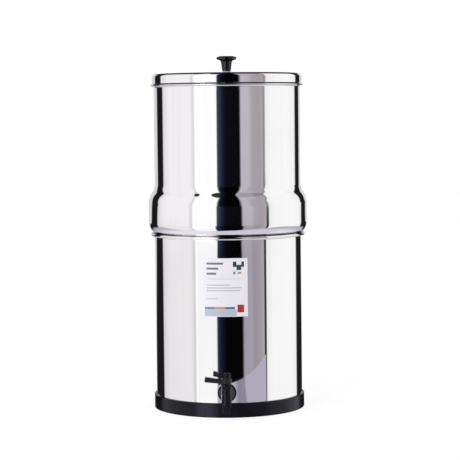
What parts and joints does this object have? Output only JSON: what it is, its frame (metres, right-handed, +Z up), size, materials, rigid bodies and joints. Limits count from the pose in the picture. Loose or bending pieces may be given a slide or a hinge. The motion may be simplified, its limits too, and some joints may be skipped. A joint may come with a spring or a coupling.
{
  "type": "gravity water filter",
  "caption": "Gravity water filter: two stacked polished steel chambers with a bulged joint, ceramic candles inside, a knobbed lid, a base ring and a turning plug tap.",
  "frame": {"origin": "centre of the base ring's underside, on the chambers' axis", "axes": "+Z up along the chambers' axis, -Y towards the tap, +X to the right seen from the tap"},
  "size_m": [0.2332, 0.2581, 0.5172],
  "materials": {
    "polished_steel": "mirror-polished stainless steel",
    "black_rubber": "satin black rubber",
    "gasket_rubber": "matt black rubber",
    "label": "smooth pale label film",
    "tap_plastic": "satin black moulded plastic",
    "knob_plastic": "gloss black moulded plastic",
    "spacer_grey": "grey moulded spacer",
    "plain_steel": "plain stainless hardware",
    "ceramic": "unglazed off-white ceramic",
    "carbon": "pressed carbon block",
    "mount_plastic": "white moulded plastic",
    "plug_plastic": "dark grey moulded plastic",
    "silicone": "translucent grey silicone"
  },
  "bodies": {
    "base": {"base_ring": "black_rubber", "lower_chamber": "polished_steel", "front_label": "label", "tap_body": "tap_plastic", "tap_outer_gasket": "gasket_rubber", "tap_inner_gasket": "gasket_rubber", "tap_back_nut": "tap_plastic"},
    "tap_key": {"tap_plug": "tap_plastic"},
    "upper": {"upper_chamber": "polished_steel", "blanking_plugs": "plug_plastic", "plug_gaskets": "silicone", "plug_nuts": "plug_plastic", "left_candle_shell": "ceramic", "left_candle_core": "carbon", "left_candle_mount": "mount_plastic", "left_candle_gasket": "silicone", "left_wing_nut": "mount_plastic", "right_candle_shell": "ceramic", "right_candle_core": "carbon", "right_candle_mount": "mount_plastic", "right_candle_gasket": "silicone", "right_wing_nut": "mount_plastic"},
    "lid_group": {"lid": "polished_steel", "lid_knob": "knob_plastic", "knob_spacer": "spacer_grey", "knob_screw": "plain_steel", "knob_lock_washer": "plain_steel"}
  },
  "joints": [
    {"name": "tap_turn", "type": "hinge", "parent": "base", "child": "tap_key", "pos_m": [0, -0.134, 0.055], "axis": [0, 0, 1], "range_deg": [0, 90]},
    {"name": "upper_lift", "type": "slide", "parent": "base", "child": "upper", "axis": [0, 0, 1], "range_m": [0, 0.3]},
    {"name": "lid_lift", "type": "slide", "parent": "upper", "child": "lid_group", "axis": [0, 0, 1], "range_m": [0, 0.15]}
  ]
}
